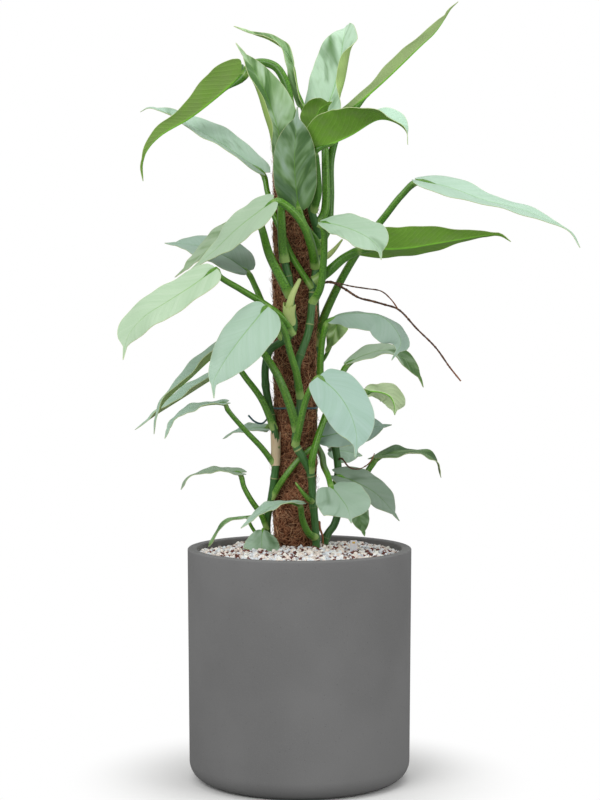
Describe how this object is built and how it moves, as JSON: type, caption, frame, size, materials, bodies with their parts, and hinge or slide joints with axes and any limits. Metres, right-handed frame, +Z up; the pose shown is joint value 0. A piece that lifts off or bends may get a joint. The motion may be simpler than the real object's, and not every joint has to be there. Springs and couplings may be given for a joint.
{
  "type": "potted silver queen philodendron",
  "caption": "Silver queen philodendron climbing a coir pole, with long silvery drip-tipped leaves on arching stalks, in a matte grey cylinder pot topped with gravel.",
  "frame": {"origin": "centre of the flat underside of the pot", "axes": "+Z up the pot and the plant, +Y away from the side that the picture shows, +X to the right of that side"},
  "size_m": [0.6351, 0.32, 1.1054],
  "materials": {
    "pot": "fibre clay, matte, finely speckled",
    "gravel": "loose rounded and broken pebbles, matte",
    "coir": "rough coconut fibre",
    "stake": "plain sawn wood",
    "wire": "plastic-coated tying wire",
    "gauge": "smooth white plastic",
    "stem": "waxy, with ringed joints",
    "leaf_silver": "satin, silver clouded",
    "leaf_green": "satin",
    "leaf_pale": "satin, pale",
    "root": "dry and matte"
  },
  "bodies": {
    "root": {"pot": "pot", "gravel_bed": "gravel", "pole_coir": "coir", "pole_stake": "stake", "tie_wire": "wire", "level_gauge": "gauge", "stem_left": "stem", "stem_front": "stem", "stem_right": "stem", "stem_back": "stem", "leaf_crown_arching": "leaf_green", "leaf_crown_upright": "leaf_silver", "leaf_crown_rolled": "leaf_green", "leaf_crown_broad": "leaf_silver", "leaf_crown_long": "leaf_green", "leaf_crown_cupped": "leaf_green", "leaf_crown_small": "leaf_green", "leaf_crown_front": "leaf_silver", "leaf_upper_far_left": "leaf_silver", "leaf_upper_left_front": "leaf_silver", "leaf_upper_left_behind": "leaf_silver", "leaf_upper_left_dark": "leaf_silver", "leaf_upper_right_long": "leaf_pale", "leaf_upper_right_front": "leaf_pale", "leaf_upper_right_dark": "leaf_green", "leaf_middle_left_pale": "leaf_pale", "leaf_middle_front": "leaf_silver", "leaf_middle_left_folded": "leaf_silver", "leaf_middle_left_narrow": "leaf_silver", "leaf_middle_right_arching": "leaf_silver", "leaf_middle_right_hooded": "leaf_silver", "leaf_middle_right_young": "leaf_pale", "leaf_low_left_drooping": "leaf_silver", "leaf_low_back_left": "leaf_pale", "leaf_low_left_edge": "leaf_silver", "leaf_low_left_thin": "leaf_pale", "leaf_on_gravel": "leaf_silver", "leaf_low_front_narrow": "leaf_silver", "leaf_low_front_broad": "leaf_silver", "leaf_low_behind_broad": "leaf_silver", "leaf_low_right_hanging": "leaf_pale", "leaf_low_right_waved": "leaf_green", "leaf_low_right_broad": "leaf_silver", "leaf_low_right_round": "leaf_silver", "leaf_low_right_pointed": "leaf_green", "leaf_low_right_pale": "leaf_pale", "new_shoot": "leaf_pale", "sheath_upper_right": "leaf_pale", "young_shoot_low": "leaf_green", "root_upper": "root", "root_low": "root"}
  },
  "joints": []
}
